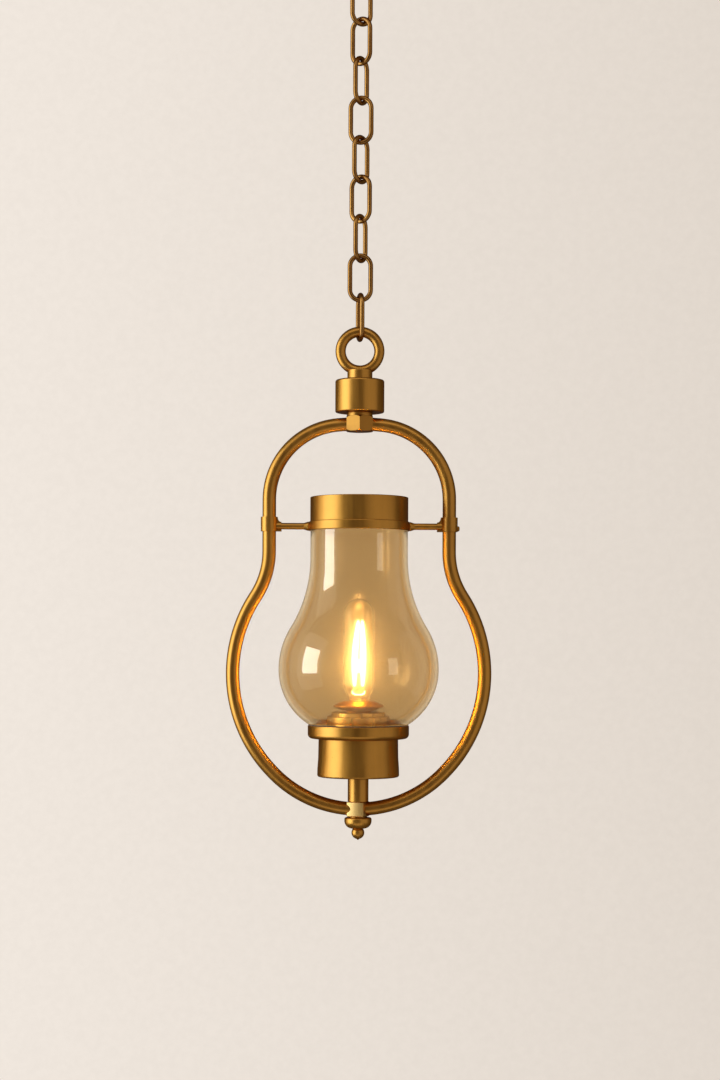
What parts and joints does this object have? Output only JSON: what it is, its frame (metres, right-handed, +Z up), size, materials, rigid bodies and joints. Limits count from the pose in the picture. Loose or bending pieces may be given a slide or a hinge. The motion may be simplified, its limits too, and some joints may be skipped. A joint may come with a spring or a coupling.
{
  "type": "hanging lantern",
  "caption": "Hanging lantern: a chain and a swivel carry a bent tube frame that holds a bellied smoked-glass chimney between a sliding cap and a turned base with a filament lamp.",
  "frame": {"origin": "centre of the ceiling plate's top face, midway between its two screw holes", "axes": "+Z up, away from the lantern; X along the ceiling plate, which the tube frame is in line with; Y through the frame"},
  "size_m": [0.2124, 0.128, 0.7435],
  "materials": {
    "brass": "aged, softly brushed and lacquered",
    "dark_brass": "darkened by handling",
    "bright_brass": "bright, lightly worn",
    "steel": "zinc-plated",
    "smoked_glass": "clear amber, blown",
    "bulb_glass": "clear",
    "filament": "glowing coating",
    "porcelain": "glazed",
    "lead_sheath": "matt",
    "felt": "pressed felt"
  },
  "bodies": {
    "ceiling": {"ceiling_plate": "steel", "canopy_nipple": "steel", "canopy_locknut": "steel", "canopy_cover": "brass", "canopy_loop": "brass", "loop_ring_nut": "dark_brass"},
    "link_1": {"chain_link_1": "brass"},
    "link_2": {"chain_link_2": "brass"},
    "link_3": {"chain_link_3": "brass"},
    "link_4": {"chain_link_4": "brass"},
    "link_5": {"chain_link_5": "brass"},
    "link_6": {"chain_link_6": "brass"},
    "link_7": {"chain_link_7": "brass"},
    "link_8": {"chain_link_8": "brass"},
    "link_9": {"chain_link_9": "brass"},
    "hanger": {"hanging_ring": "brass", "swivel_washer": "steel", "swivel_nut": "steel"},
    "frame": {"swivel_collar": "brass", "collar_floor_disc": "dark_brass", "throat_nipple": "steel", "throat_locknut": "steel", "throat_sleeve": "brass", "hub_upper": "bright_brass", "lead_joint": "porcelain", "lead_inside": "lead_sheath", "frame_tube_left": "brass", "frame_tube_right": "brass", "hub_lower": "bright_brass", "glass_chimney": "smoked_glass", "foot_gasket": "felt", "gallery": "brass", "base_cup": "brass", "stem_sleeve": "brass", "stem_rod": "steel", "stem_locknut": "steel", "burner_drum": "dark_brass", "drip_dish": "brass", "lamp_sleeve": "dark_brass", "lamp_socket": "porcelain", "socket_contact": "bright_brass"},
    "cap": {"clamp_left": "brass", "clamp_right": "brass", "clamp_screws": "dark_brass", "arm_left": "brass", "arm_right": "brass", "cap_band": "brass", "cap_sleeve": "brass", "cap_gasket": "felt"},
    "finial_washer": {"finial_washer": "dark_brass"},
    "finial": {"finial": "brass"},
    "bulb_contact": {"bulb_contact": "steel"},
    "bulb": {"bulb_base": "bright_brass", "bulb_glass": "bulb_glass", "bulb_stem": "bulb_glass", "bulb_filaments": "filament"}
  },
  "joints": [
    {"name": "link_1_swing", "type": "hinge", "parent": "ceiling", "child": "link_1", "pos_m": [0, 0, -0.06], "axis": [-0.5, 0.866, 0], "range_deg": [-18, 18]},
    {"name": "link_2_swing", "type": "hinge", "parent": "link_1", "child": "link_2", "pos_m": [0, 0, -0.09095], "axis": [0.866, 0.5, 0], "range_deg": [-18, 18]},
    {"name": "link_3_swing", "type": "hinge", "parent": "link_2", "child": "link_3", "pos_m": [0, 0, -0.1225], "axis": [-0.829, 0.5592, 0], "range_deg": [-18, 18]},
    {"name": "link_4_swing", "type": "hinge", "parent": "link_3", "child": "link_4", "pos_m": [0, 0, -0.15405], "axis": [0.5446, 0.8387, 0], "range_deg": [-18, 18]},
    {"name": "link_5_swing", "type": "hinge", "parent": "link_4", "child": "link_5", "pos_m": [0, 0, -0.1856], "axis": [-0.9848, 0.1736, 0], "range_deg": [-18, 18]},
    {"name": "link_6_swing", "type": "hinge", "parent": "link_5", "child": "link_6", "pos_m": [0, 0, -0.21715], "axis": [0.6157, 0.788, 0], "range_deg": [-18, 18]},
    {"name": "link_7_swing", "type": "hinge", "parent": "link_6", "child": "link_7", "pos_m": [0, 0, -0.2487], "axis": [-0.8572, 0.515, 0], "range_deg": [-18, 18]},
    {"name": "link_8_swing", "type": "hinge", "parent": "link_7", "child": "link_8", "pos_m": [0, 0, -0.28025], "axis": [0.4695, 0.8829, 0], "range_deg": [-18, 18]},
    {"name": "link_9_swing", "type": "hinge", "parent": "link_8", "child": "link_9", "pos_m": [0, 0, -0.3118], "axis": [1, 0, 0], "range_deg": [-18, 18]},
    {"name": "ring_swing", "type": "hinge", "parent": "link_9", "child": "hanger", "pos_m": [0, 0, -0.34335], "axis": [0, 1, 0], "range_deg": [-18, 18]},
    {"name": "swivel", "type": "hinge", "parent": "hanger", "child": "frame", "pos_m": [0, 0, -0.3757], "axis": [0, 0, 1], "range_deg": [-170, 170]},
    {"name": "cap_lift", "type": "slide", "parent": "frame", "child": "cap", "axis": [0, 0, 1], "range_m": [0, 0.012]},
    {"name": "finial_drop", "type": "slide", "parent": "frame", "child": "finial_washer", "axis": [0, 0, -1], "range_m": [0, 0.0076]},
    {"name": "finial_turn", "type": "hinge", "parent": "finial_washer", "child": "finial", "pos_m": [0, 0, -0.7255], "axis": [0, 0, -1], "range_deg": [0, 2160]},
    {"name": "bulb_rise", "type": "slide", "parent": "frame", "child": "bulb_contact", "axis": [0, 0, 1], "range_m": [0, 0.0086]},
    {"name": "bulb_turn", "type": "hinge", "parent": "bulb_contact", "child": "bulb", "pos_m": [0, 0, -0.65158], "axis": [0, 0, 1], "range_deg": [0, 1080]}
  ],
  "couplings": [
    {"joint": "finial_drop", "follows": "finial_turn", "m_per_rad": 0.00019894},
    {"joint": "bulb_rise", "follows": "bulb_turn", "m_per_rad": 0.00044882}
  ]
}
